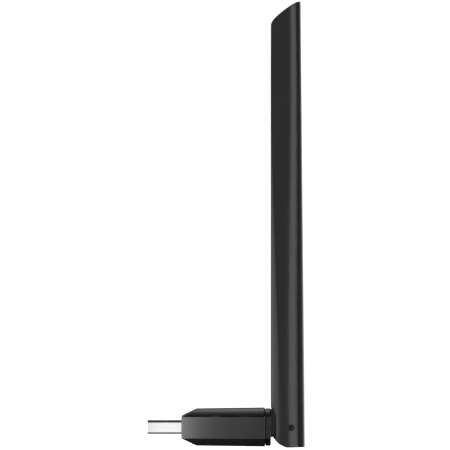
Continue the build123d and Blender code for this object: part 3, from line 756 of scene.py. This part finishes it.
def build_floor(stage):
    """A pale floor that curves up into a backdrop behind the adapter."""
    low = CAD_BOX[0].z - stage.floor_drop
    near, depth, height, bend, half = -4.0, 3.0, 2.4, 0.6, 4.0
    steps = 12
    profile = [(near, low)]
    for step in range(steps + 1):
        angle = math.pi / 2 * step / steps
        profile.append((depth - bend + bend * math.sin(angle), low + bend - bend * math.cos(angle)))
    profile.append((depth, low + height))
    vertices = [(x, y, z) for y, z in profile for x in (-half, half)]
    faces = [(2 * i, 2 * i + 1, 2 * i + 3, 2 * i + 2) for i in range(len(profile) - 1)]
    mesh = bpy.data.meshes.new("studio_floor")
    mesh.from_pydata(vertices, [], faces)
    for face in mesh.polygons:
        face.use_smooth = True
    floor = bpy.data.objects.new("studio_floor", mesh)
    bpy.context.scene.collection.objects.link(floor)
    material, tree, place = new_material("pale_studio_paper")
    fibre = add_node(tree, "ShaderNodeTexNoise", {
        "Vector": place, "Scale": 1.0 / (4 * MM), "Detail": 3.0,
    }).outputs["Fac"]
    colour = add_node(
        tree, "ShaderNodeMix", {0: fibre, 6: srgb("#f4f4f4"), 7: srgb("#f8f8f8")}, data_type="RGBA"
    ).outputs[2]
    # Lit by its own glow, so it is as white to the camera as the backdrop.
    shader = add_node(tree, "ShaderNodeBsdfPrincipled", {
        "Base Color": colour, "Roughness": 0.9,
        "Emission Color": srgb("#ffffff"), "Emission Strength": 1.0,
    })
    add_node(tree, "ShaderNodeOutputMaterial", {"Surface": shader.outputs[0]})
    mesh.materials.append(material)
    floor.visible_glossy = False
    floor.visible_diffuse = False


def panel_light(name, size, radiance, place, aim):
    """One rectangular soft light of a given brightness, aimed at a point and unseen by the camera."""
    data = bpy.data.lights.new(name, "AREA")
    data.shape = "RECTANGLE"
    data.size, data.size_y = size
    data.energy = math.pi * size[0] * size[1] * radiance
    light = bpy.data.objects.new(name, data)
    bpy.context.scene.collection.objects.link(light)
    light.location = place
    light.rotation_mode = "QUATERNION"
    light.rotation_quaternion = (Vector(aim) - Vector(place)).to_track_quat("-Z", "Y")
    light.visible_camera = False
    return light


def shade(light, name):
    """Keeps one light off a CAD part, as a small black flag does in a studio."""
    flagged = bpy.data.collections.new(f"{light.name}_flag")
    flagged.objects.link(NODES[name])
    light.light_linking.receiver_collection = flagged
    flagged.collection_objects[0].light_linking.link_state = "EXCLUDE"


# name, bearing round the adapter and height in degrees, width, height in metres, radiance
PANELS = (
    ("front_fill", 0, 0, 1.5, 1.1, 0.45),
    ("front_high", 0, 27, 1.6, 0.45, 0.9),
    ("front_low", 0, -26, 1.6, 0.45, 0.9),
    ("left_wall", -72, 0, 2.9, 1.6, 1.5),
    ("left_rear", -128, 0, 1.0, 1.6, 1.0),
    ("right_wall", 50, 0, 1.5, 1.6, 2.1),
    ("right_far", 105, 0, 1.0, 1.6, 0.2),
    ("right_rear", 150, 0, 0.9, 1.4, 1.2),
    ("overhead", 0, 116, 1.6, 1.5, 1.9),
)
PANEL_DISTANCE = 1.7
# name, width and height, radiance, place, and the point it faces
CARDS = (
    ("plug_card", (0.018, 0.03), 0.66, (-0.006, -0.12, 0.0), (-0.006, 0.0, 0.0)),
    ("nose_card", (0.05, 0.09), 14.0, (-0.06, -0.12, 0.0), (0.0, 0.0, 0.0)),
)
# The world's strength: low where it lights the adapter, and full where the camera sees it
WORLD_LIGHT, WORLD_SEEN = 0.05, 1.0


def build_lights():
    """Large soft panels round the adapter, two small cards by the plug, and a white backdrop."""
    centre = (CAD_BOX[0] + CAD_BOX[1]) / 2
    for name, bearing, rise, width, height, radiance in PANELS:
        turn, lift = math.radians(bearing), math.radians(rise)
        way = Vector((math.sin(turn) * math.cos(lift), -math.cos(turn) * math.cos(lift), math.sin(lift)))
        panel = panel_light(name, (width, height), radiance, centre + way * PANEL_DISTANCE, centre)
        if rise:
            shade(panel, "plug_shell")
    cards = {card[0]: panel_light(*card) for card in CARDS}
    lit = bpy.data.collections.new("lit_by_nose_card")
    for name in ("top_cover", "bottom_shell", "light_pipe"):
        lit.objects.link(NODES[name])
    cards["nose_card"].light_linking.receiver_collection = lit
    world = bpy.data.worlds.new("studio")
    world.use_nodes = True
    tree = world.node_tree
    seen = add_node(tree, "ShaderNodeLightPath").outputs["Is Camera Ray"]
    strength = add_node(tree, "ShaderNodeMapRange", {
        "Value": seen, "To Min": WORLD_LIGHT, "To Max": WORLD_SEEN,
    }).outputs["Result"]
    backdrop = tree.nodes["Background"]
    backdrop.inputs["Color"].default_value = srgb("#ffffff")
    tree.links.new(strength, backdrop.inputs["Strength"])
    bpy.context.scene.world = world


# The middle of the photo in the shared frame, which the camera looks at squarely
VIEW_X, VIEW_Z = 15.26 * MM, 70.86 * MM


def build_camera(stage):
    """A long lens looking squarely at the adapter, framed as the photo is."""
    data = bpy.data.cameras.new("camera")
    data.sensor_width = 36.0
    data.lens = data.sensor_width * stage.camera_distance / stage.frame_width
    data.clip_start, data.clip_end = 0.05, 20.0
    camera = bpy.data.objects.new("camera", data)
    bpy.context.scene.collection.objects.link(camera)
    camera.location = (VIEW_X, -stage.camera_distance, VIEW_Z)
    camera.rotation_euler = (math.pi / 2, 0, 0)
    bpy.context.scene.camera = camera
    bpy.context.scene.view_settings.view_transform = "Standard"


class ADAPTER_PT_panel(bpy.types.Panel):
    """The adapter's pieces and settings"""

    bl_label = "Antenna Adapter"
    bl_idname = "ADAPTER_PT_panel"
    bl_space_type = "VIEW_3D"
    bl_region_type = "UI"
    bl_category = "Adapter"

    def draw(self, context):
        for group in GROUPS:
            box = self.layout.box()
            settings = getattr(context.scene, group)
            for key in settings.bl_rna.properties.keys():
                if key not in ("rna_type", "name"):
                    box.prop(settings, key)
        for step in STEPS:
            self.layout.operator(step.bl_idname)


GROUPS = {
    "adapter_shell": AdapterShellSettings,
    "adapter_plug": AdapterPlugSettings,
    "adapter_contacts": AdapterContactSettings,
    "adapter_board": AdapterBoardSettings,
    "adapter_lead": AdapterLeadSettings,
    "adapter_radiator": AdapterRadiatorSettings,
    "adapter_stage": AdapterStageSettings,
}
STEPS = (
    ADAPTER_OT_shells, ADAPTER_OT_contacts, ADAPTER_OT_board, ADAPTER_OT_lead, ADAPTER_OT_radiator,
    ADAPTER_OT_stage,
)


def register():
    for group in GROUPS.values():
        bpy.utils.register_class(group)
    for step in STEPS:
        bpy.utils.register_class(step)
    bpy.utils.register_class(ADAPTER_PT_panel)
    for name, group in GROUPS.items():
        setattr(bpy.types.Scene, name, bpy.props.PointerProperty(type=group))


def unregister():
    for name in GROUPS:
        delattr(bpy.types.Scene, name)
    bpy.utils.unregister_class(ADAPTER_PT_panel)
    for group in (*STEPS, *GROUPS.values()):
        bpy.utils.unregister_class(group)


def main():
    register()
    bpy.ops.adapter.shells()
    bpy.ops.adapter.contacts()
    bpy.ops.adapter.board()
    bpy.ops.adapter.lead()
    bpy.ops.adapter.radiator()
    bpy.ops.adapter.stage()


if __name__ == "__main__":
    main()
